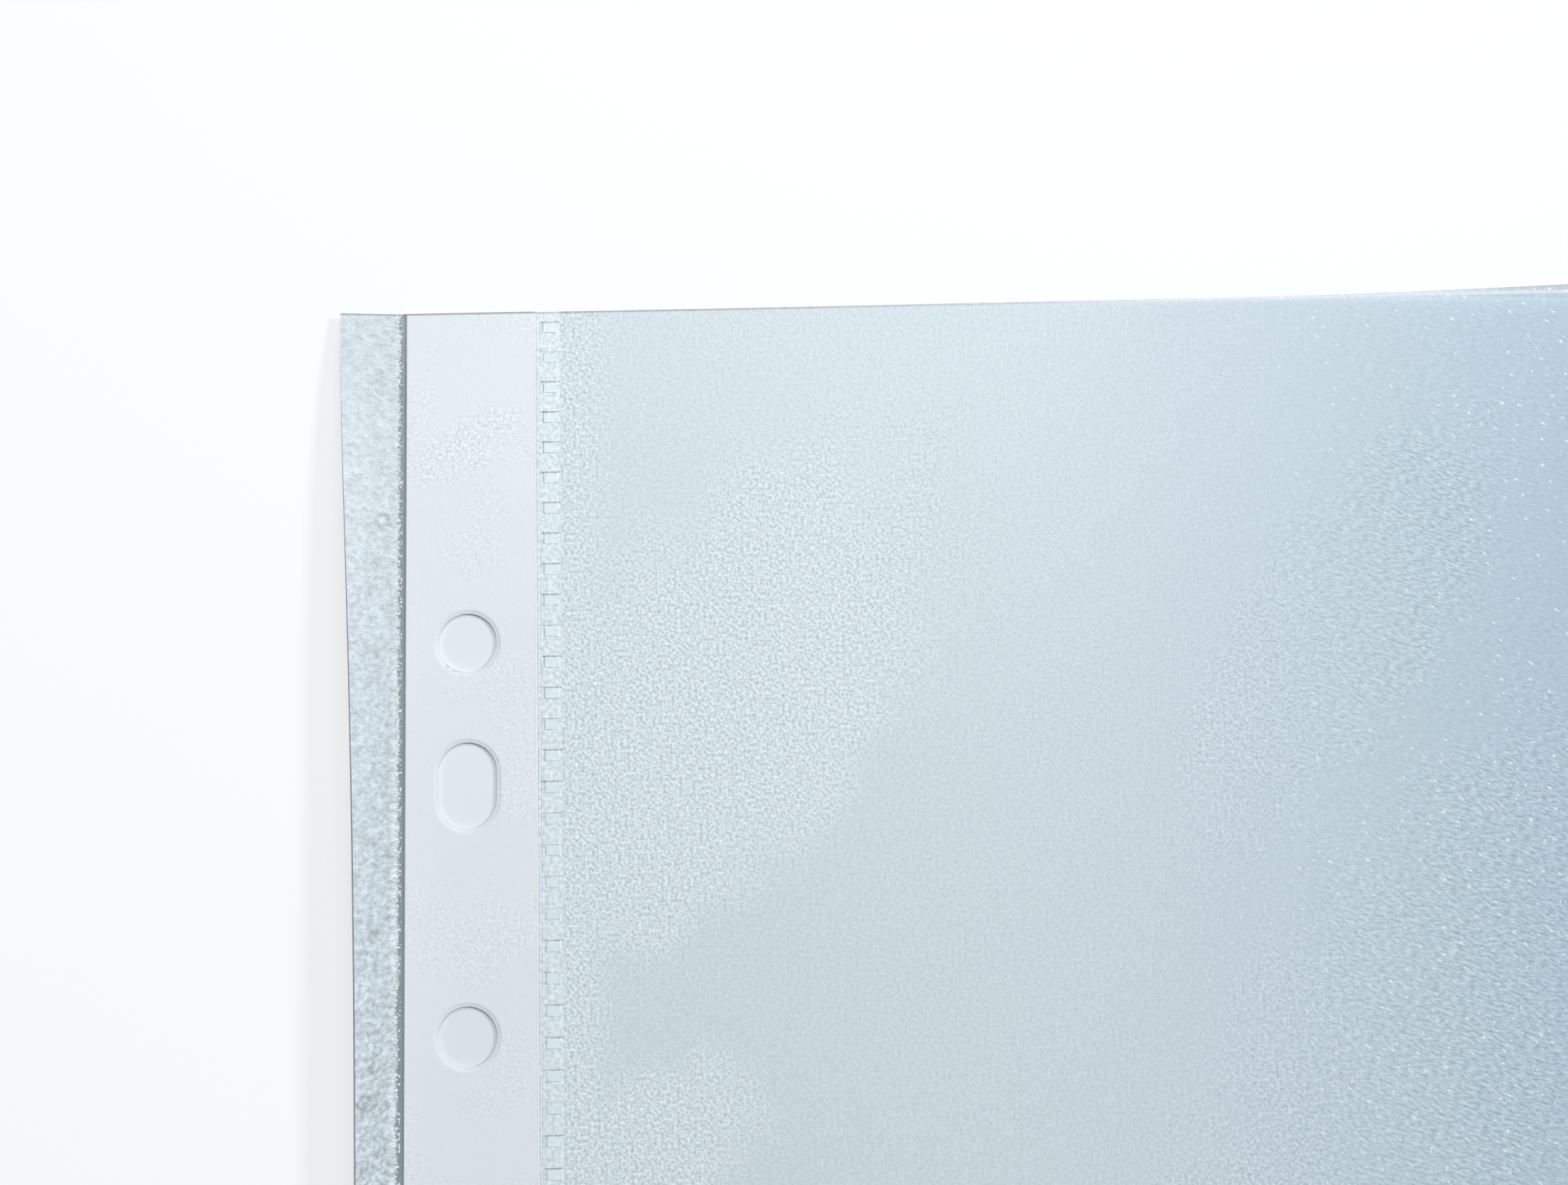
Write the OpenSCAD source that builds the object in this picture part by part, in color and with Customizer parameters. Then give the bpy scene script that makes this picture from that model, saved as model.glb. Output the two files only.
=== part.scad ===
// Punched sheet protector, lying flat: X across, Y up the sheet towards its open mouth, Z up.
// The origin is on the table, under the middle of the bounding box. The binding margin is at -X.

/* [Film] */
// Thickness of the clear film
film_t = 0.1; // [0.08:0.01:0.12]

/* [Pocket] */
// Width of the pocket, from the side weld to the start of the outer fold
pocket_w = 217; // [200:1:240]
// Height of the whole sheet protector, along the binding edge
sheet_h = 303; // [270:1:330]
// Gap between the two panels where they lie together
rest_gap = 0.03; // [0.02:0.01:0.06]
// Gap between the two panels inside the outer fold
fold_gap = 0.3; // [0.1:0.05:0.6]
// Height of the soft diagonal waves in the front panel
wave_h = 0.4; // [0.1:0.1:0.8]
// Distance from one wave to the next
wave_pitch = 95; // [80:5:140]
// Angle of the waves' crests from the sheet's bottom edge
wave_deg = 52; // [30:1:70]

/* [Mouth] */
// How far the front panel stands off the back panel at the mouth
mouth_gap = 6.5; // [5:0.5:10]
// Distance of the mouth's highest point from the outer fold
crown_inset = 80; // [70:1:100]
// Half the width of the bulge at the mouth
crown_half_w = 76; // [60:1:90]
// How far the bulge runs down from the mouth
mouth_depth = 150; // [100:5:200]

/* [Binding strip] */
// Width of the white strip
strip_w = 12; // [11:0.5:14]
// Thickness of the white strip
strip_t = 0.2; // [0.15:0.01:0.3]
// Distance of the hole line from the strip's outer edge
hole_inset = 5.7; // [5:0.1:6]
// Run over which the films step off the strip
step_w = 0.2; // [0.15:0.05:0.4]

/* [Outer film edge] */
// Width of the flat crease between the strip's step and the curl
crease_w = 0.4; // [0.2:0.1:0.8]
// Width of the film that curls, measured along it
edge_w = 5.65; // [4:0.05:8]
// Radius of the curl
edge_r = 1.2; // [0.8:0.1:2]
// Angle of the curl at the top and bottom ends
end_deg = 8; // [5:1:30]
// Angle that the curl tends to in its middle stretch
mid_deg = 68; // [35:1:75]
// Distance from each end in which the curl grows by two thirds
curl_run = 33; // [20:1:60]

/* [Holes] */
// Diameter of the round holes and width of the slots
hole_d = 5.5; // [5:0.1:6]
// Distance of the second round hole from the middle hole
hole_2_y = 56; // [53:0.5:60]
// Distance of the third round hole from the middle hole
hole_3_y = 84; // [80:0.5:90]
// Distance of the outermost round hole from the middle hole
hole_4_y = 120; // [118:0.5:124]
// Distance of the inner slot's centre from the middle hole
slot_1_y = 37.5; // [35:0.5:40]
// Length of the inner slot
slot_1_len = 10.5; // [9:0.5:12]
// Distance of the outer slot's centre from the middle hole
slot_2_y = 106.75; // [104:0.25:108]
// Length of the outer slot
slot_2_len = 8; // [7:0.5:10]

/* [Welds] */
// Width of the side weld
weld_w = 2; // [1.6:0.1:3]
// Width of the bottom weld
bottom_weld_w = 2; // [1.6:0.1:3]
// Distance from one rung of the weld's ladder to the next
rung_pitch = 2.9; // [2.5:0.1:4]
// Size of the smooth pad below each rung, along the weld
pad_len = 1.05; // [0.6:0.05:1.6]
// Size of the smooth pad across the weld
pad_w = 1.25; // [0.8:0.05:1.4]
// Height of the pressed line that is each rung
rung_t = 0.15; // [0.1:0.01:0.3]
// Distance of the topmost rung from the mouth, and of the last one from the bottom weld's outer end
rung_inset = 1.05; // [0.3:0.05:2]
// Depth to which pads and rungs are pressed
press_depth = 0.05; // [0.02:0.01:0.08]

/* [Hinge crease] */
// Thickness of the pressed web beside the crease
web_t = 0.12; // [0.08:0.01:0.14]
// Length of the web from the crease's axis to the side weld
web_w = 0.2; // [0.15:0.01:0.3]
// Width of the flat lip between the strip's step and the crease's axis
lip_w = 0.1; // [0.09:0.01:0.15]
// Clearance round the crease's bead
crease_gap = 0.03; // [0.03:0.01:0.04]

/* [Hidden] */

// Both films lying together
double_t = 2 * film_t;
// Stations along Y and across X of the curved sheets, and points round the fold and the curl
y_steps = 25;
x_steps = 21;
fold_steps = 8;
curl_steps = 5;
round_fn = 64;
bead_fn = 32;
// Runs over which the front panel leaves a weld, the fold and the bottom
weld_run = 25;
fold_run = 18;
bottom_run = 35;
// Cuts pass this far beyond the faces that they open
past = 1;
// Places across the sheet are whole numbers of this, so that faces that meet share one value
grain = 0.01;

// Reach of the curled edge beyond its crease, at its flattest
flat_deg = min(end_deg, mid_deg);
edge_reach = edge_r * sin(flat_deg) + (edge_w - edge_r * flat_deg * PI / 180) * cos(flat_deg);
fold_reach = fold_gap / 2 + film_t;

// Places across the sheet, from the binding edge to the outer fold
flat_w = crease_w + step_w + strip_w + step_w + lip_w + web_w + weld_w + pocket_w;
curl_x = round((edge_reach - flat_w - fold_reach) / 2 / grain) * grain;
strip_x = curl_x + crease_w + step_w;
hole_x = strip_x + hole_inset;
hinge_x = strip_x + strip_w + step_w + lip_w;
weld_x = hinge_x + web_w;
panel_x = weld_x + weld_w;
fold_x = panel_x + pocket_w;
crown_x = fold_x - crown_inset;

// Places up the sheet and heights off the table
bottom_y = -sheet_h / 2;
top_y = sheet_h / 2;
panel_y = bottom_y + bottom_weld_w;
hinge_z = film_t;
strip_z = film_t;
// On the outer side the films leave the strip at its mid-height, and lie together there
crease_z = strip_z + strip_t / 2;

// Smooth rise from 0 to 1 over a run, and a round-topped hump from -1 to 1
function rise(d, run) = let(s = min(1, max(0, d / run))) s * s * (3 - 2 * s);
function hump(s) = abs(s) >= 1 ? 0 : (1 + cos(180 * s)) / 2;
function blend(a, b, s) = a + (b - a) * s;
// Share of the way for a share of the stations, which lie closer together at both ends
function eased(s) = (1 - cos(180 * s)) / 2;

// Gap between the panels at a point of the front panel
function edges(x, y) = rise(x - panel_x, weld_run) * rise(fold_x - x, fold_run) * rise(y - panel_y, bottom_run);
function wave(x, y) = (1 + sin(360 * (y * cos(wave_deg) - x * sin(wave_deg)) / wave_pitch)) / 2;
function mouth(x, y) = hump((x - crown_x) / crown_half_w) * hump((top_y - y) / mouth_depth);
function fold_lift(x, y) = (1 - rise(fold_x - x, fold_run)) * rise(y - panel_y, bottom_run);
function gap(x, y) = rest_gap + (fold_gap - rest_gap) * fold_lift(x, y)
                   + wave_h * wave(x, y) * edges(x, y) + mouth_gap * mouth(x, y) * edges(x, y);

// Stations up the panel, and across it
function panel_ys() = [for (j = [0 : y_steps]) blend(panel_y, top_y, j / y_steps)];
function panel_xs() = [for (i = [0 : x_steps]) blend(panel_x, fold_x, eased(i / x_steps))];

// Angle of the curled edge at a height up the sheet
function curl_deg(y) = mid_deg - (mid_deg - end_deg) * exp((abs(y) - top_y) / curl_run);

// Closed sheet through a row of like rings at their own Y. The first half of a ring's points runs along
// one face of the film, and the second half comes back along the other, point for point. Both faces are
// split along the same diagonals, so that a twisted sheet keeps its thickness.
module loft(rings) {
    n = len(rings[0]);
    last = (len(rings) - 1) * n;
    sides = [for (j = [0 : n : last - n], i = [0 : n - 1])
        let(a = j + i, b = j + (i + 1) % n)
        each i < n / 2 ? [[a, b, b + n], [a, b + n, a + n]] : [[a, b, a + n], [b, b + n, a + n]]];
    ends = [for (i = [0 : n / 2 - 2], k = [0, 1])
        let(a = i, b = i + 1, c = n - 2 - i, d = n - 1 - i)
        each k == 0 ? [[a, c, b], [a, d, c]] : [[last + a, last + b, last + c], [last + a, last + c, last + d]]];
    polyhedron([for (r = rings, p = r) p], concat(sides, ends));
}

// All that is punched through the margin: seven round holes and four slots on one line
module punched_holes(thick) {
    translate([hole_x, 0, -past]) {
        for (y = [0, hole_2_y, -hole_2_y, hole_3_y, -hole_3_y, hole_4_y, -hole_4_y])
            translate([0, y, 0]) cylinder(h = thick + 2 * past, d = hole_d, $fn = round_fn);
        for (s = [[slot_1_y, slot_1_len], [slot_2_y, slot_2_len]], side = [-1, 1])
            translate([0, side * s[0], 0]) linear_extrude(thick + 2 * past) slot(s[1]);
    }
}

module slot(length) {
    half = (length - hole_d) / 2;
    square([hole_d, 2 * half], center = true);
    for (side = [-1, 1]) translate([0, side * half]) circle(d = hole_d, $fn = round_fn);
}

// Room round the crease's bead, cut from the margin's films
module crease_room() {
    translate([hinge_x, bottom_y - past, hinge_z]) rotate([-90, 0, 0])
        cylinder(h = sheet_h + 2 * past, r = film_t + crease_gap, $fn = bead_fn);
}

// Pressed ladder of a weld of a given length and width, along +Y: rungs with a pad below each
module ladder(length, width) {
    last = floor((length - rung_inset - pad_len - rung_t) / rung_pitch);
    for (i = [0 : last]) translate([0, length - rung_inset - i * rung_pitch]) {
        square([width, rung_t], center = true);
        translate([-pad_w / 2, -pad_len - rung_t / 2]) square([pad_w, pad_len + rung_t / 2]);
    }
}

module weld_bar(length, width) {
    difference() {
        translate([-width / 2, 0, 0]) cube([width, length, double_t]);
        translate([0, 0, double_t - press_depth]) linear_extrude(past) ladder(length, width - rung_t);
    }
}

// Layer of film along the margin, its lower face given from the binding edge to the hinge crease
module margin_layer(under, top) {
    over = [for (i = [len(under) - 1 : -1 : 0]) under[i] + [0, film_t]];
    difference() {
        translate([0, top_y, 0]) rotate([90, 0, 0]) linear_extrude(sheet_h) polygon(concat(under, over));
        punched_holes(top);
        crease_room();
    }
}

module margin_back_film() {
    color([0.80, 0.86, 0.90]) margin_layer([[curl_x, crease_z - film_t], [strip_x - step_w, crease_z - film_t],
        [strip_x, 0], [hinge_x, 0]], crease_z);
}

module binding_strip() {
    color([0.97, 0.98, 0.99]) difference() {
        translate([strip_x, bottom_y, strip_z]) cube([strip_w, sheet_h, strip_t]);
        punched_holes(strip_z + strip_t);
    }
}

module margin_front_film() {
    strip_end = strip_x + strip_w;
    strip_top = strip_z + strip_t;
    color([0.84, 0.90, 0.93]) margin_layer([[curl_x, crease_z], [strip_x - step_w, crease_z],
        [strip_x, strip_top], [strip_end, strip_top], [strip_end + step_w, film_t], [hinge_x, film_t]],
        strip_top + film_t);
}

// Face of the curled edge at one height up the sheet: round the curl from the crease, then straight to the
// tip. A ring of the edge runs down its outer face and back up its inner one.
function curl_face(y, r) = let(a = curl_deg(y), tip = edge_w - edge_r * a * PI / 180) concat(
    [for (i = [0 : curl_steps]) let(b = a * i / curl_steps) [-r * sin(b), y, edge_r - r * cos(b)]],
    [[-r * sin(a) - tip * cos(a), y, edge_r - r * cos(a) + tip * sin(a)]]);
function curl_ring(y) = let(outer = curl_face(y, edge_r), inner = curl_face(y, edge_r - double_t))
    concat([for (i = [len(outer) - 1 : -1 : 0]) outer[i]], inner);

module outer_film_edge() {
    color([0.72, 0.80, 0.85]) translate([curl_x, 0, crease_z - film_t])
        loft([for (j = [0 : y_steps]) curl_ring(blend(bottom_y, top_y, eased(j / y_steps)))]);
}

module side_weld() {
    color([0.76, 0.84, 0.88]) {
        translate([weld_x + weld_w / 2, bottom_y, 0]) weld_bar(sheet_h, weld_w);
        translate([hinge_x, bottom_y, hinge_z - web_t / 2]) cube([web_w + rung_t / 2, sheet_h, web_t]);
        translate([hinge_x, bottom_y, hinge_z]) rotate([-90, 0, 0])
            cylinder(h = sheet_h, r = film_t, $fn = bead_fn);
    }
}

module pocket_back_film() {
    color([0.78, 0.85, 0.90]) translate([panel_x, panel_y, 0]) cube([pocket_w, top_y - panel_y, film_t]);
}

// Ring of the front panel: its underside from the weld to the fold, and its upper face back again
function panel_ring(y) = let(xs = panel_xs()) concat(
    [for (x = xs) [x, y, film_t + gap(x, y)]],
    [for (i = [len(xs) - 1 : -1 : 0]) [xs[i], y, double_t + gap(xs[i], y)]]);

module pocket_front_film() {
    color([0.84, 0.90, 0.94]) loft([for (y = panel_ys()) panel_ring(y)]);
}

// Ring of the fold: round its outside from the back panel to the front one, and back inside
function fold_arc(y, g, r) = [for (i = [0 : fold_steps]) let(a = 180 * i / fold_steps - 90)
    [r * cos(a), y, film_t + g + r * sin(a)]];
function fold_ring(y) = let(g = gap(fold_x, y) / 2, inner = fold_arc(y, g, g))
    concat(fold_arc(y, g, g + film_t), [for (i = [fold_steps : -1 : 0]) inner[i]]);

module outer_fold() {
    color([0.74, 0.82, 0.87]) translate([fold_x, 0, 0]) loft([for (y = panel_ys()) fold_ring(y)]);
}

module bottom_weld() {
    length = pocket_w + rest_gap / 2 + film_t;
    color([0.76, 0.84, 0.88]) translate([panel_x + length, bottom_y + bottom_weld_w / 2, 0])
        rotate([0, 0, 90]) weld_bar(length, bottom_weld_w);
}

margin_back_film();
binding_strip();
margin_front_film();
outer_film_edge();
side_weld();
pocket_back_film();
pocket_front_film();
outer_fold();
bottom_weld();
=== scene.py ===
import math

import bpy
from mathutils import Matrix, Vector


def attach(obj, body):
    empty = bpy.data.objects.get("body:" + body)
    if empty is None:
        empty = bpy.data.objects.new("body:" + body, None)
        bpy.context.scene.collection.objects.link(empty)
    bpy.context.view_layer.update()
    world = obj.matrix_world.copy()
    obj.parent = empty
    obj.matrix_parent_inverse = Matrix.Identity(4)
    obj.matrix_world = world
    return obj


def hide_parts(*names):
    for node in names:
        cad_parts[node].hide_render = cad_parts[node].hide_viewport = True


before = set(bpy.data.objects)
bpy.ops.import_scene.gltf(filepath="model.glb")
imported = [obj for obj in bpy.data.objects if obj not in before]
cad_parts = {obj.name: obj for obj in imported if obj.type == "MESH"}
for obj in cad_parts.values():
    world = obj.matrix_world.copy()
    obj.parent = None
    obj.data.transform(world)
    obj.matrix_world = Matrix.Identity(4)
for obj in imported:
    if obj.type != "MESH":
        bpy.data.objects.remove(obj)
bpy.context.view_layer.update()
bpy.context.scene.view_settings.view_transform = "Standard"


# ---------------------------------------------------------------- camera and lamps
# A lens held square over the sheet's top left corner, so that the right side and the bottom lie outside
# the picture. One soft lamp stands far off to the right, and a weaker one close by, beyond the mouth.
LENS_MM, SENSOR_MM, NEAREST_SEEN_M = 48.82, 36, 0.01
EYE_MM = (-78.56, 97.61, 196.92)
EYE_TURN_DEG = (7.688, -0.138, -1.148)

bpy.ops.object.camera_add(location=Vector(EYE_MM) / 1000,
                          rotation=[math.radians(turn) for turn in EYE_TURN_DEG])
camera = bpy.context.object
camera.data.sensor_width = SENSOR_MM
camera.data.lens = LENS_MM
camera.data.clip_start = NEAREST_SEEN_M
bpy.context.scene.camera = camera


def soft_lamp(name, place, aim, size, watts, tint):
    """Square lamp, its place, aim and size in metres, which the lens itself doesn't see."""
    bpy.ops.object.light_add(type="AREA", location=place)
    lamp = bpy.context.object
    lamp.name = name
    lamp.rotation_euler = (Vector(aim) - Vector(place)).to_track_quat("-Z", "Y").to_euler()
    lamp.data.size = size
    lamp.data.energy = watts
    lamp.data.color = tint
    lamp.visible_camera = False


soft_lamp("side_lamp", place=(1.27, 0.39, 1.13), aim=(-0.05, 0.05, 0), size=0.27, watts=14.2,
          tint=(1.0, 0.992, 0.975))
soft_lamp("mouth_lamp", place=(-0.06, 0.30, 0.32), aim=(-0.08, 0.12, 0), size=0.25, watts=0.78,
          tint=(0.97, 0.985, 1.0))


# ---------------------------------------------------------------- table and room
# Plain white table top in a plain white room. The lens sees part of the room's white through it, so
# that it reads as white paper, keeps the sheet's shadow, and doesn't hide a pocket that hangs below it.
# Under the margin it carries a painted shadow, greyer and darker towards the bottom, and hides the room, as
# the punched holes show.
class Field:
    """A number or colour that changes over a surface. Sums with it add Math nodes to its finish."""

    def __init__(self, finish, socket):
        self.finish, self.socket = finish, socket

    def _math(self, operation, *values):
        return self.finish.node("ShaderNodeMath", {"operation": operation}, dict(enumerate(values)))

    def __add__(self, other):
        return self._math("ADD", self, other)

    def __sub__(self, other):
        return self._math("SUBTRACT", self, other)

    def __rsub__(self, other):
        return self._math("SUBTRACT", other, self)

    def __mul__(self, other):
        return self._math("MULTIPLY", self, other)

    def __truediv__(self, other):
        return self._math("DIVIDE", self, other)

    def __pow__(self, other):
        return self._math("POWER", self, other)

    def __abs__(self):
        return self._math("ABSOLUTE", self)

    __radd__, __rmul__ = __add__, __mul__

    def part(self):
        """What is left beyond the last whole number."""
        return self._math("FRACT", self)

    def least(self, other):
        return self._math("MINIMUM", self, other)

    def most(self, other):
        return self._math("MAXIMUM", self, other)

    def rise(self, start, end):
        """Smooth step from 0 at start to 1 at end; it falls instead where start is the larger."""
        if start > end:
            return 1 - self.rise(end, start)
        return self.finish.node("ShaderNodeMapRange", {"interpolation_type": "SMOOTHSTEP"},
                                {"Value": self, "From Min": start, "From Max": end})


class Finish:
    """A material, and the one method that adds any node to it."""

    def __init__(self, name):
        self.material = bpy.data.materials.new(name)
        self.material.use_nodes = True
        self.nodes = self.material.node_tree.nodes
        self.links = self.material.node_tree.links
        self.shader = self.nodes["Principled BSDF"]

    def node(self, kind, settings, values, out=0):
        made = self.nodes.new(kind)
        for setting, value in settings.items():
            setattr(made, setting, value)
        for socket, value in values.items():
            self.feed(made.inputs[socket], value)
        return Field(self, made.outputs[out])

    def feed(self, socket, value):
        if isinstance(value, Field):
            self.links.new(value.socket, socket)
        elif isinstance(value, (tuple, list)) and socket.type == "RGBA" and len(value) == 3:
            socket.default_value = (*value, 1)
        else:
            socket.default_value = value

    def set(self, **values):
        for name, value in values.items():
            self.feed(self.shader.inputs[name.replace("_", " ")], value)

    def cover(self, share):
        """Share of what lies behind it that one layer of film hides. Only its outer face hides anything, so
        that the two faces of a layer don't count twice."""
        inside = self.node("ShaderNodeNewGeometry", {}, {}, out="Backfacing")
        self.set(Alpha=(1 - inside) * share)

    def mix(self, share, a, b, how="MIX"):
        """Colour that goes from a to b with share."""
        return self.node("ShaderNodeMix", {"data_type": "RGBA", "blend_type": how},
                         {0: share, 6: a, 7: b}, out=2)

    def shade(self, colour, factor):
        """Colour times a number."""
        return self.mix(1.0, colour, factor, "MULTIPLY")

    def millimetres(self, turn_deg=0, stretch=(1, 1, 1)):
        """Place on the sheet in millimetres, turned about Z and then stretched."""
        place = self.node("ShaderNodeTexCoord", {}, {}, out="Object")
        scaled = self.node("ShaderNodeMapping", {}, {"Vector": place, "Scale": (1000, 1000, 1000)})
        if not turn_deg and stretch == (1, 1, 1):
            return scaled
        turn = (0, 0, math.radians(turn_deg))
        turned = self.node("ShaderNodeMapping", {}, {"Vector": scaled, "Rotation": turn})
        return self.node("ShaderNodeMapping", {}, {"Vector": turned, "Scale": tuple(1 / s for s in stretch)})

    def xyz(self, place):
        return [self.node("ShaderNodeSeparateXYZ", {}, {0: place}, out=axis) for axis in range(3)]

    def cloud(self, place, size, detail=2.0, flat=True):
        """Even noise from 0 to 1 with blobs of about that size, the same through the sheet if flat."""
        return self.node("ShaderNodeTexNoise", {"noise_dimensions": "2D" if flat else "3D"},
                         {"Vector": place, "Scale": 1 / size, "Detail": detail})

    def relief(self, height, depth_m):
        """Normal of a surface whose height, from 0 to 1, spans that depth."""
        return self.node("ShaderNodeBump", {}, {"Height": height, "Strength": 1.0, "Distance": depth_m})


TABLE_SIZE, TABLE_DROP = 4.0, 0.00002
TABLE_WHITE = (0.92, 0.93, 0.94)
# Share of the table's own shading that the lens sees by the sheet, and where it starts and ends to fade
SHADING_KEPT, FADE_START, FADE_END = 0.40, 250, 750
MARGIN_PAINTED_SHADOW, LOWER_PAINTED_SHADE = (0.82, 0.86, 0.90), 0.05
ROOM_TINT, ROOM_STRENGTH = (0.95, 0.975, 1.0), 0.31
SEEN_WHITE = (0.985, 0.992, 1.0)

bpy.ops.mesh.primitive_plane_add(size=TABLE_SIZE, location=(0, 0, -TABLE_DROP))
table = bpy.context.object
table.name = "table"
paper = Finish("table_white")
x, y, _ = paper.xyz(paper.millimetres())
# Painted shadow on the table under the margin: greyer there, and darker still towards the bottom.
under = x.rise(-118, -111) * x.rise(-99, -102) * y.rise(-151, -144) * y.rise(151, 144)
shaded = paper.mix(under, (1, 1, 1), MARGIN_PAINTED_SHADOW)
shaded = paper.shade(shaded, 1 - under * y.rise(115, 75) * LOWER_PAINTED_SHADE)
paper.set(Base_Color=paper.shade(TABLE_WHITE, shaded), Roughness=0.9, Specular_IOR_Level=0.1)
seen = paper.node("ShaderNodeLightPath", {}, {}, out="Is Camera Ray")
mirrored = paper.node("ShaderNodeLightPath", {}, {}, out="Is Glossy Ray")
through = paper.node("ShaderNodeLightPath", {}, {}, out="Is Transmission Ray")
clear = paper.node("ShaderNodeBsdfTransparent", {}, {})
kept = ((x ** 2 + y ** 2) ** 0.5).rise(FADE_END, FADE_START) * SHADING_KEPT
let_through = seen.most(mirrored).most(through) * (1 - kept) * (1 - under)
both = paper.node("ShaderNodeMixShader", {}, {0: let_through, 1: Field(paper, paper.shader.outputs[0]),
                                              2: clear})
paper.links.new(both.socket, paper.nodes["Material Output"].inputs["Surface"])
table.data.materials.append(paper.material)

room = bpy.data.worlds.new("room")
bpy.context.scene.world = room
room.use_nodes = True
air = room.node_tree
light_path = air.nodes.new("ShaderNodeLightPath")
looked = light_path.outputs["Is Camera Ray"]
for ray in ("Is Glossy Ray", "Is Transmission Ray"):
    either = air.nodes.new("ShaderNodeMath")
    either.operation = "MAXIMUM"
    air.links.new(looked, either.inputs[0])
    air.links.new(light_path.outputs[ray], either.inputs[1])
    looked = either.outputs[0]
lit = air.nodes["Background"]
lit.inputs["Color"].default_value = (*ROOM_TINT, 1)
lit.inputs["Strength"].default_value = ROOM_STRENGTH
white = air.nodes.new("ShaderNodeBackground")
white.inputs["Color"].default_value = (*SEEN_WHITE, 1)
chosen = air.nodes.new("ShaderNodeMixShader")
air.links.new(looked, chosen.inputs[0])
air.links.new(lit.outputs[0], chosen.inputs[1])
air.links.new(white.outputs[0], chosen.inputs[2])
air.links.new(chosen.outputs[0], air.nodes["World Output"].inputs["Surface"])


# ---------------------------------------------------------------- binding strip
# Opaque white polypropylene tape, laid between the two film layers of the margin to carry the punched
# holes. It is smooth, with a faint grain that the film over it leaves, and dips a little at each hole.
SHEET_TOP, SHEET_BOTTOM = 151.5, -151.5
STRIP_LEFT, STRIP_RIGHT = -112.78, -100.78
HOLE_X, HOLE_R = -107.08, 2.75
# Each hole's distance from the sheet's middle and half the length of its straight sides: 0 if it is round
HOLES = ((0, 0), (56, 0), (84, 0), (120, 0), (37.5, 2.5), (106.75, 1.25))
TAPE_WHITE, HOLE_WALL_PAINTED_LIGHT = (0.770, 0.822, 0.842), (1, 1, 1)
GRAIN_MM, SPECK_MM = 0.30, 0.22
# Where the film over the tape touches it and shows its grain: centre, half length and half width in mm,
# turn from X, and how clearly
TAPE_PATCHES = (((-107, 138.8), 5.4, 2.7, 30, 1.0), ((-105, 92.5), 4.5, 3, 30, 0.5))
BURR_SPOT = (-108.4, 117.4)


def away_from(spot, x, y):
    """Distance from a spot, in mm."""
    return ((x - spot[0]) ** 2 + (y - spot[1]) ** 2) ** 0.5


def oval(x, y, spot, half_l, half_w, turn_deg):
    """0 in the middle of a turned oval, 1 on its rim and more beyond it."""
    c, t = math.cos(math.radians(turn_deg)), math.sin(math.radians(turn_deg))
    along = (x - spot[0]) * (c / half_l) + (y - spot[1]) * (t / half_l)
    aside = (y - spot[1]) * (c / half_w) - (x - spot[0]) * (t / half_w)
    return along * along + aside * aside


def beyond_holes(x, y):
    """Distance from the nearest hole's rim, in mm. Holes lie alike on both sides of the middle."""
    up = abs(y)
    nearest = None
    for centre, half in HOLES:
        off = (abs(up - centre) - half).most(0) if half else up - centre
        away = away_from((HOLE_X, 0), x, off) - HOLE_R
        nearest = away if nearest is None else nearest.least(away)
    return nearest


def edge_shadow_at(y):
    """1 on the painted shadow line along the cut at the mouth, 0 below it."""
    return y.rise(SHEET_TOP - 0.20, SHEET_TOP - 0.14)


tape = Finish("white_tape")
place = tape.millimetres()
x, y, _ = tape.xyz(place)
fine = tape.cloud(place, GRAIN_MM, 3)
patches = tape.cloud(place, 9, 1).rise(0.50, 0.66) * 0.4
ragged = (tape.cloud(place, 2, 2) - 0.5) * 2
for spot, half_l, half_w, turn, clearly in TAPE_PATCHES:
    patches = patches.most((oval(x, y, spot, half_l, half_w, turn) + ragged).rise(1.6, 0.2) * clearly)
rim = beyond_holes(x, y)
by_burr = away_from(BURR_SPOT, x, y).rise(1.1, 0.6) * rim.rise(0.40, 0.25)
crumbs = by_burr * tape.cloud(place, SPECK_MM, 1).rise(0.46, 0.56)
tone = 1 + (fine - 0.5) * (0.07 + patches * 0.85) + (tape.cloud(place, 14, 1) - 0.5) * 0.03
# Darker along the cut at the mouth: a painted shadow line.
tone = tone - edge_shadow_at(y) * 0.35 - crumbs * 0.35
# The tape's upright walls, the hole walls among them, are painted white: painted light on walls that face
# away from the lamps.
facing_up = abs(tape.xyz(tape.node("ShaderNodeTexCoord", {}, {}, out="Normal"))[2])
tape.set(Base_Color=tape.mix(facing_up, HOLE_WALL_PAINTED_LIGHT, tape.shade(TAPE_WHITE, tone)), Roughness=0.42,
         Normal=tape.relief(fine * (0.10 + patches * 0.45) + rim.rise(0, 0.4), 0.00010))
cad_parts["binding_strip"].data.materials.clear()
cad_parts["binding_strip"].data.materials.append(tape.material)


# ---------------------------------------------------------------- films of the margin
# Two layers of clear embossed film, each 18 mm wide, that hold the tape between them. They cling to it,
# drop to each other beside it, and curl up off the table together as the sheet's outer edge.
CREASE_X, HINGE_X = -113.38, -100.60
EDGE_W, EDGE_R, FILM_T = 5.65, 1.2, 0.1
END_DEG, MID_DEG, CURL_RUN = 8, 68, 33
STEP_W, CLING_T = 0.2, 0.088
MARGIN_W = EDGE_W + HINGE_X - CREASE_X
# Each layer's heights: over the crease's underside, beside the tape, on or under it, and at the hinge
LAYERS = (("margin_film_upper", (0.15, 0.25, 0.356, 0.152), ("margin_front_film", "outer_film_edge")),
          ("margin_film_lower", (0.05, 0.15, 0.046, 0.046), ("margin_back_film",)))
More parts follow.
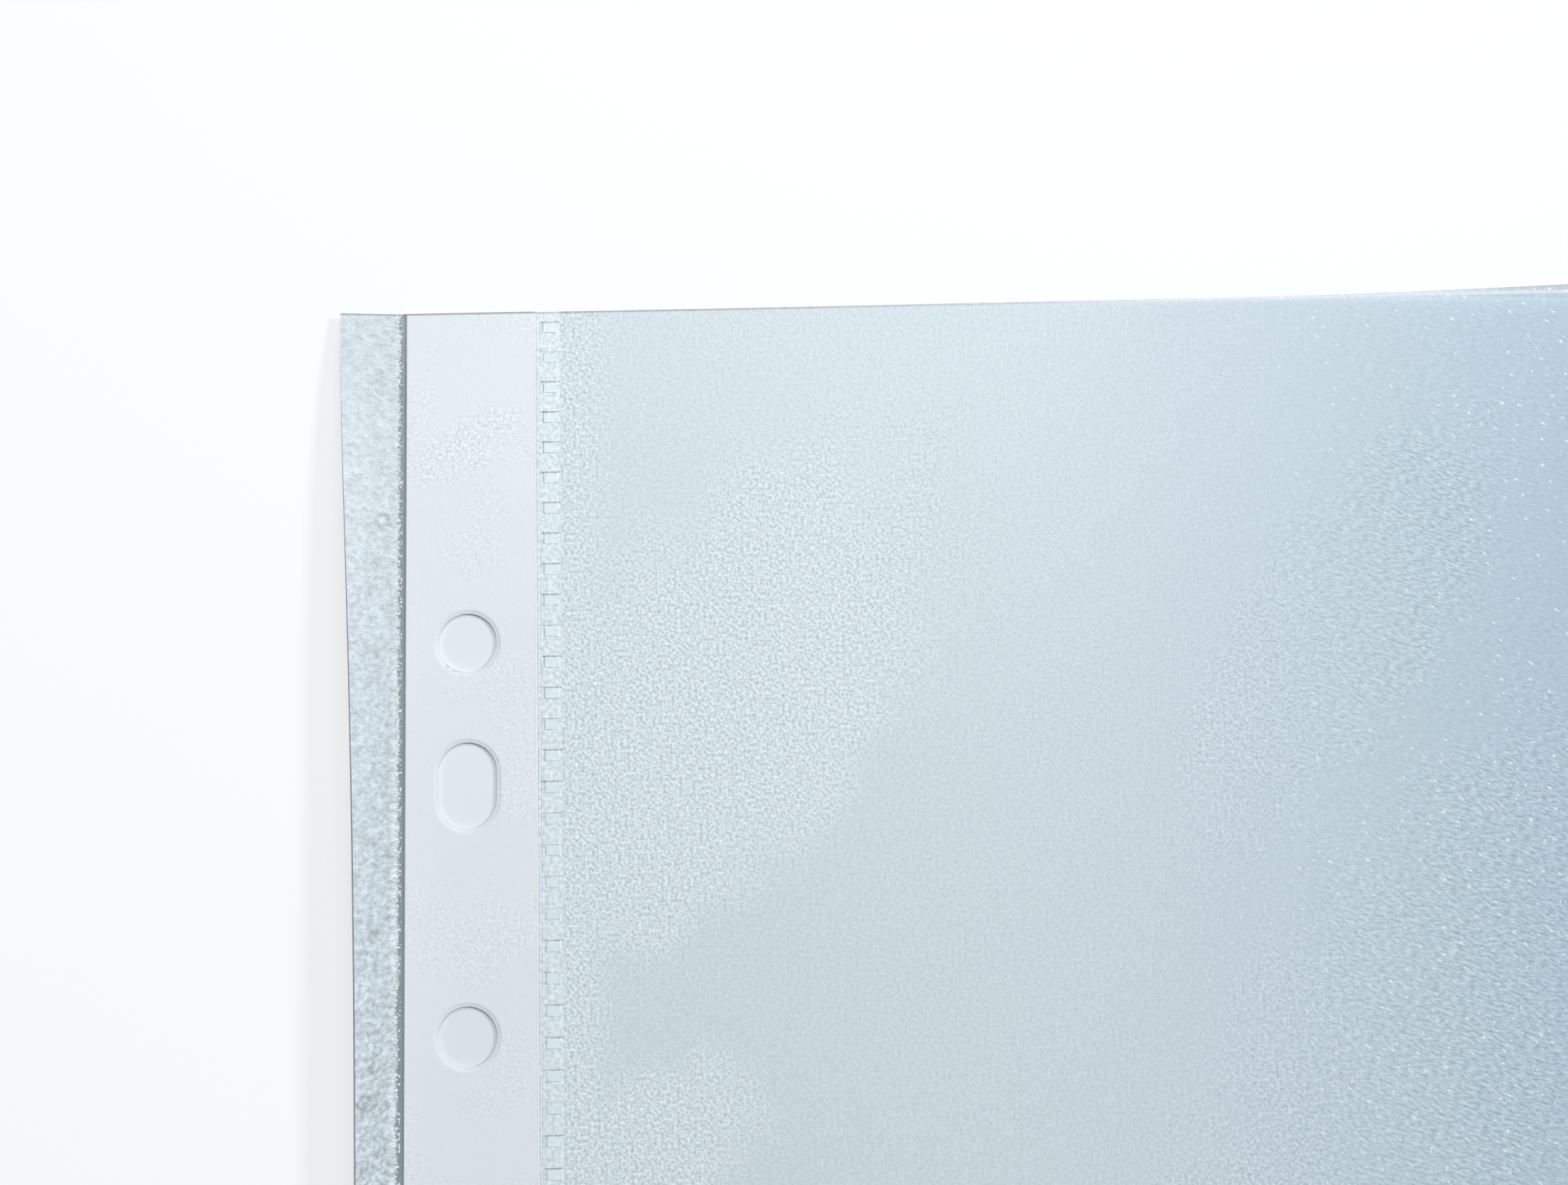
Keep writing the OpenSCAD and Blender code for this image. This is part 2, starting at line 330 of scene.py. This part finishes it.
# Shares of the grid's stations, and the places across the film where they lie: close at the bends
MARGIN_STATIONS = ((0, 0), (0.20, 3.9), (0.42, EDGE_W), (0.48, EDGE_W + 0.4), (0.58, EDGE_W + 0.6),
                   (0.88, EDGE_W + 12.6), (1, MARGIN_W))
CUT_END_Y, CUT_SIDE_X, SMOOTH_DEG = 151.4, -110, 40
FILM_GREY, CREASE_PAINTED_SHADE, PAINTED_GLINT = (0.645, 0.72, 0.775), (0.27, 0.33, 0.37), (0.94, 0.98, 1)
TAPE_EDGE_PAINTED_HIGHLIGHT, OVER_TAPE, EDGE_PAINTED_SHADOW = (0.86, 0.90, 0.92), (0.80, 0.84, 0.86), (0.30, 0.33, 0.35)
MARGIN_COVER, TAPE_COVER = 0.74, 0.22
SCAR_SPOT, DENT_X, DENT_PITCH, DENT_START = (-114.9, 131.6), -115.5, 2.9, 1.9


def laid_film(name, finish, stations, rows, thick, lay):
    """Flat grid of film, stations across and rows up it, laid by lay(across, up), which takes both as
    shares of the sheet and gives a point in mm. It is then given its thickness, with the cut edge's finish,
    a painted dark shadow line, on the walls that the sheet's own outline shows."""
    bpy.ops.object.select_all(action="DESELECT")
    bpy.ops.mesh.primitive_grid_add(x_subdivisions=stations, y_subdivisions=rows, size=1)
    piece = bpy.context.object
    piece.name = piece.data.name = name
    for point in piece.data.vertices:
        point.co = Vector(lay(point.co.x + 0.5, point.co.y + 0.5)) / 1000
    piece.data.materials.append(finish.material)
    piece.data.materials.append(edge.material)
    wall = piece.modifiers.new("wall", "SOLIDIFY")
    wall.thickness, wall.offset, wall.material_offset_rim = thick / 1000, 0, 1
    bpy.ops.object.modifier_apply(modifier=wall.name)
    for face in piece.data.polygons:
        if abs(face.center.y) < CUT_END_Y / 1000 and face.center.x > CUT_SIDE_X / 1000:
            face.material_index = 0
    return piece


def rise(d, run):
    """Smooth step from 0 at 0 to 1 at run."""
    share = min(1, max(0, d / run))
    return share * share * (3 - 2 * share)


def between(share, table):
    """Value at a share, on straight lines between the table's own."""
    for (s0, v0), (s1, v1) in zip(table, table[1:]):
        if share <= s1:
            return v0 + (v1 - v0) * (share - s0) / (s1 - s0)
    return table[-1][1]


def lay_margin(across, up, level, outer_z, strip_z, end_z):
    """Point of a margin film. The film beyond the crease curls up on a small radius, least at the
    sheet's two ends."""
    y = SHEET_BOTTOM + up * (SHEET_TOP - SHEET_BOTTOM)
    run = between(across, MARGIN_STATIONS) - EDGE_W
    if run >= 0:
        x = CREASE_X + run
        step_up = rise(x - STRIP_LEFT + STEP_W, STEP_W)
        step_down = rise(x - STRIP_RIGHT, STEP_W)
        return x, y, outer_z + (strip_z - outer_z) * step_up + (end_z - strip_z) * step_down
    angle = math.radians(MID_DEG - (MID_DEG - END_DEG) * math.exp((abs(y) - SHEET_TOP) / CURL_RUN))
    bent, radius = min(angle, -run / EDGE_R), EDGE_R - level
    straight = max(0, -run - EDGE_R * angle)
    return (CREASE_X - radius * math.sin(bent) - straight * math.cos(bent), y,
            outer_z + radius * (1 - math.cos(bent)) + straight * math.sin(bent))


over = Finish("margin_film")
place = over.millimetres()
x, y, _ = over.xyz(place)
fine = over.cloud(place, GRAIN_MM, 3)
on_tape = x.rise(STRIP_LEFT - 0.10, STRIP_LEFT) * x.rise(STRIP_RIGHT + 0.08, STRIP_RIGHT)
broad = over.cloud(place, 2.6, 1)
# The dark band beside the tape's left edge is painted shade in the crease, ragged and wider lower down.
widened = y.rise(105, 65) * 0.12 + (over.cloud(place, 1.5, 1) - 0.5) * y.rise(150, 65) * 0.4
widened = widened + (over.cloud(place, 0.40, 2) - 0.5) * (0.9 - y.rise(130, 95) * 0.6)
beyond = (x + widened).rise(CREASE_X + 0.10, CREASE_X - 0.20)
crease_shade = (1 - beyond) * x.rise(STRIP_LEFT + 0.4, STRIP_LEFT)
rim = beyond_holes(x, y)
blots = over.cloud(over.millimetres(8, (1.6, 1.0, 1.3)), 0.46, 3, flat=False)
specks = over.cloud(place, SPECK_MM, 1)
lower_down = 1 + y.rise(150, 60) * 1.2
dent_down = ((SHEET_TOP - DENT_START - y) * (1 / DENT_PITCH)).part() * DENT_PITCH - DENT_PITCH / 2
dents = (away_from((DENT_X, 0), x, dent_down) + (broad - 0.5) * 1.2).rise(0.85, 0.25)
scar = away_from(SCAR_SPOT, x, y)
ring = scar.rise(0.85, 0.55) * scar.rise(0.25, 0.5)
tone = 1 + beyond * lower_down * ((blots - 0.5) * 0.70 + (broad - 0.5) * 0.10 - dents * 0.06)
tone = tone + (specks - 0.5) * 0.16 - ring * 0.22 + scar.rise(0.3, 0.1) * 0.3
# White specks left of the dark band are painted glints: painted highlights along the crease.
painted_glints = x.rise(CREASE_X - 0.60, CREASE_X - 0.25) * x.rise(CREASE_X + 0.30, CREASE_X + 0.15)
painted_glints = painted_glints * over.cloud(place, 0.26, 1).rise(0.60, 0.67)
colour = over.mix(crease_shade, FILM_GREY, CREASE_PAINTED_SHADE)
colour = over.mix(painted_glints, over.shade(colour, tone), PAINTED_GLINT)
# A pale line along the tape's right edge is a painted highlight.
colour = over.mix(x.rise(STRIP_RIGHT - 0.2, STRIP_RIGHT), colour, TAPE_EDGE_PAINTED_HIGHLIGHT)
colour = over.mix(on_tape, colour, OVER_TAPE)
# Darker along the cut at the mouth: a painted shadow line.
colour = over.shade(colour, 1 - edge_shadow_at(y) * 0.40)
over.cover(MARGIN_COVER - on_tape * (MARGIN_COVER - TAPE_COVER))
over.set(Base_Color=colour, Roughness=0.30,
         Normal=over.relief((blots * 2.4 * beyond + specks * 0.4) * (1 - on_tape) + fine * 0.1 * on_tape
                            + rim.rise(0.05, 0.55) * 0.8, 0.00009))
# The cut walls are painted dark grey: a painted shadow line along the sheet's outline.
edge = Finish("cut_edge")
edge.set(Base_Color=EDGE_PAINTED_SHADOW, Roughness=0.5)

ON_AXIS = 1e-7
bpy.ops.object.select_all(action="DESELECT")
punches = []
for centre, half in HOLES:
    for side in (1, -1) if centre else (1,):
        bpy.ops.mesh.primitive_cylinder_add(vertices=64, radius=HOLE_R / 1000, depth=0.01,
                                            location=(HOLE_X / 1000, side * centre / 1000, 0))
        punch = bpy.context.object
        for point in punch.data.vertices:
            if abs(point.co.y) > ON_AXIS:
                point.co.y += math.copysign(half / 1000, point.co.y)
        punches.append(punch)
for punch in punches:
    punch.select_set(True)
bpy.context.view_layer.objects.active = punches[0]
bpy.ops.object.join()
punch = bpy.context.object

for name, heights, stands_for in LAYERS:
    layer = laid_film(name, over, stations=90, rows=260, thick=CLING_T,
                      lay=lambda across, up: lay_margin(across, up, *heights))
    cut = layer.modifiers.new("holes", "BOOLEAN")
    cut.object, cut.solver = punch, "EXACT"
    bpy.ops.object.modifier_apply(modifier=cut.name)
    bpy.ops.object.shade_smooth_by_angle(angle=math.radians(SMOOTH_DEG))
    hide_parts(*stands_for)
    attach(layer, "binding_margin")
bpy.data.objects.remove(punch)


# ---------------------------------------------------------------- welds
# Film pressed and fused by a heated bar: a ladder of smooth pads, one to every 2.9 mm, down the side of
# the pocket, and the same across its bottom. Beside the pads the film keeps its grain.
WELD_LEFT, WELD_RIGHT = -100.28, -98.28
PAD_LEN, PAD_HALF_W, RUNG_HALF = 1.05, 0.62, 0.09
RUNG_PITCH, RUNG_INSET, BOTTOM_MIDDLE = 2.9, 1.05, 1
WELD_GREY, WELD_COVER = (0.665, 0.76, 0.81), 0.86

ladder = Finish("pressed_weld")
place = ladder.millimetres()
x, y, _ = ladder.xyz(place)
speck = ladder.cloud(place, 0.40, 2)
on_side = x.rise(WELD_RIGHT + 0.02, WELD_RIGHT)
side_down = ((SHEET_TOP - RUNG_INSET - y) / RUNG_PITCH + 0.5 * RUNG_HALF).part() * RUNG_PITCH
bottom_down = ((x - WELD_RIGHT) / RUNG_PITCH).part() * RUNG_PITCH
side_off = abs(x - (WELD_LEFT + WELD_RIGHT) / 2)
bottom_off = abs(y - (SHEET_BOTTOM + BOTTOM_MIDDLE))
down = on_side * side_down + (1 - on_side) * bottom_down
off = on_side * side_off + (1 - on_side) * bottom_off
# Each rung's dark line is painted shade, and the dashes beside each pad are painted light and shade: lighter
# on the right, darker on the left.
rung_shadow = down.rise(0.17, 0.12) * off.rise(0.95, 0.85)
in_pad = down.rise(PAD_LEN + 0.1, PAD_LEN)
pad = in_pad * down.rise(0.14, 0.22) * off.rise(PAD_HALF_W + 0.06, PAD_HALF_W - 0.04)
pad_side_light_and_shade = in_pad * off.rise(0.60, 0.64) * off.rise(0.76, 0.70)
left = on_side * x.rise(WELD_LEFT + 1.02, WELD_LEFT + 0.98)
clearly = ladder.cloud(place, 3.5, 1).rise(0.35, 0.62) * 0.8 + 0.2
tone = 1 + (speck - 0.5) * (1 - pad * 0.7) * 0.75 - rung_shadow * clearly * 0.40 + pad * clearly * 0.06
# Darker along the cut at the mouth: a painted shadow line.
tone = tone + pad_side_light_and_shade * clearly * (0.20 - left * 0.45) - edge_shadow_at(y) * 0.40
ladder.cover(WELD_COVER)
ladder.set(Base_Color=ladder.shade(WELD_GREY, tone), Roughness=0.3,
           Normal=ladder.relief(pad * 0.8 + speck * (1 - pad) * 0.5, 0.00009))
for node in ("side_weld", "bottom_weld"):
    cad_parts[node].data.materials.clear()
    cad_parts[node].data.materials.append(ladder.material)


# ---------------------------------------------------------------- pocket
# One web of clear embossed film, laid from the side weld across the front, round the outer fold and
# back under itself. The front stands off the back at the mouth, and lies on it in soft diagonal waves.
POCKET_W, POCKET_BOTTOM = 217, SHEET_BOTTOM + 2
FOLD_X = WELD_RIGHT + POCKET_W
REST_GAP, FOLD_GAP = 0.03, 0.3
WAVE_H, WAVE_PITCH, WAVE_TURN = 0.4, 95, math.radians(52)
MOUTH_GAP, CROWN_X, CROWN_HALF_W, MOUTH_DEPTH = 6.5, FOLD_X - 80, 76, 150
WELD_RUN, FOLD_RUN, BOTTOM_RUN = 25, 18, 35
# Shares of the web that lie in front and round the fold; the rest lies behind
FRONT_SHARE, ROUND_SHARE, FOLD_W = 0.68, 0.08, 0.7
# Where the front film lies on the back one and its grain shows: centre, half length and half width of
# each such patch in mm, and its turn from X
TOUCHING = (((-86, 113), 31, 15, 47), ((-26, 120), 22, 9, 56), ((-17, 84), 32, 17, 52),
            ((-94, 72), 15, 7, 30))
PANEL_GREY, TOUCHING_PALE, BELLY_PAINTED_SHADE = (0.67, 0.77, 0.82), (0.725, 0.825, 0.857), (0.36, 0.52, 0.655)
PANEL_COVER = 0.66


def hump(s):
    """Round hill, 1 high at 0 and level with the ground at 1 and -1."""
    return 0 if abs(s) >= 1 else (1 + math.cos(math.pi * s)) / 2


def gap(x, y):
    """Room between the two panels: soft waves, and the belly that opens at the mouth."""
    edges = rise(x - WELD_RIGHT, WELD_RUN) * rise(FOLD_X - x, FOLD_RUN) * rise(y - POCKET_BOTTOM, BOTTOM_RUN)
    wave = (1 + math.sin(2 * math.pi * (y * math.cos(WAVE_TURN) - x * math.sin(WAVE_TURN)) / WAVE_PITCH)) / 2
    mouth = hump((x - CROWN_X) / CROWN_HALF_W) * hump((SHEET_TOP - y) / MOUTH_DEPTH)
    fold_lift = (1 - rise(FOLD_X - x, FOLD_RUN)) * rise(y - POCKET_BOTTOM, BOTTOM_RUN)
    return REST_GAP + (FOLD_GAP - REST_GAP) * fold_lift + (WAVE_H * wave + MOUTH_GAP * mouth) * edges


def lay_web(across, up):
    """Point of the web, from the side weld over the front, round the fold and back underneath."""
    y = POCKET_BOTTOM + up * (SHEET_TOP - POCKET_BOTTOM)
    if across <= FRONT_SHARE:
        x = WELD_RIGHT + across / FRONT_SHARE * POCKET_W
        return x, y, 1.5 * FILM_T + gap(x, y)
    lift = gap(FOLD_X, y) / 2
    if across < FRONT_SHARE + ROUND_SHARE:
        turn = (across - FRONT_SHARE) / ROUND_SHARE * math.pi
        radius = lift + FILM_T / 2
        return FOLD_X + radius * math.sin(turn), y, FILM_T + lift + radius * math.cos(turn)
    back = (across - FRONT_SHARE - ROUND_SHARE) / (1 - FRONT_SHARE - ROUND_SHARE)
    return FOLD_X - back * POCKET_W, y, FILM_T / 2


film = Finish("pocket_film")
place = film.millimetres()
x, y, _ = film.xyz(place)
# Darker and bluer across the belly, where the front stands off the back: painted shade.
belly = x.rise(-68, CROWN_X) * x.rise(FOLD_X - 2, CROWN_X)
ragged = (film.cloud(place, 6, 2) - 0.5) * 1.2
touching = x.rise(WELD_RIGHT + 6, WELD_RIGHT + 1)
for spot, half_l, half_w, turn in TOUCHING:
    touching = touching.most((oval(x, y, spot, half_l, half_w, turn) + ragged).rise(1.5, 0.4))
waves = film.cloud(film.millimetres(-52, (3.2, 1.1, 1)), 14, 1).rise(0.46, 0.60)
touching = touching.most((1 - y.rise(58, 68) * x.rise(6, -4)) * waves)
round_grain = film.cloud(place, GRAIN_MM, 3)
long_grain = film.cloud(film.millimetres(18, (2.0, 0.85, 1)), 0.31, 2)
slant = x.rise(-45, -12)
grain = round_grain * (1 - slant) + long_grain * slant
# Painted shadow line along the cut at the mouth, broader where the front film lifts.
edge_shadow_line = edge_shadow_at(y + x.rise(-16, 5) * 0.5)
tone = 1 + (grain - 0.5) * (0.38 + touching * 0.72) - edge_shadow_line * (x.rise(-35, -60) + x.rise(-18, -6)) * 0.4
# Tiny white spots, more of them lower down, are painted glints: painted highlights on the grain.
spots = film.cloud(film.millimetres(35, (1.7, 0.85, 1)), 0.40, 0) + y.rise(130, 90) * 0.03
painted_sparkles = x.rise(-60, 0) * spots.rise(0.83, 0.86)
colour = film.mix(touching * x.rise(-50, -75), PANEL_GREY, TOUCHING_PALE)
colour = film.mix(belly, colour, BELLY_PAINTED_SHADE)
colour = film.mix(painted_sparkles, film.shade(colour, tone), (1, 1, 1))
film.cover(PANEL_COVER)
film.set(Base_Color=colour, Roughness=0.30, Normal=film.relief(grain * (0.4 + touching), 0.00007))
pocket = laid_film("pocket_web", film, stations=200, rows=150, thick=FILM_T, lay=lay_web)
bpy.ops.object.shade_smooth_by_angle(angle=math.radians(SMOOTH_DEG))
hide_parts("pocket_front_film", "pocket_back_film", "outer_fold")
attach(pocket, "pocket")
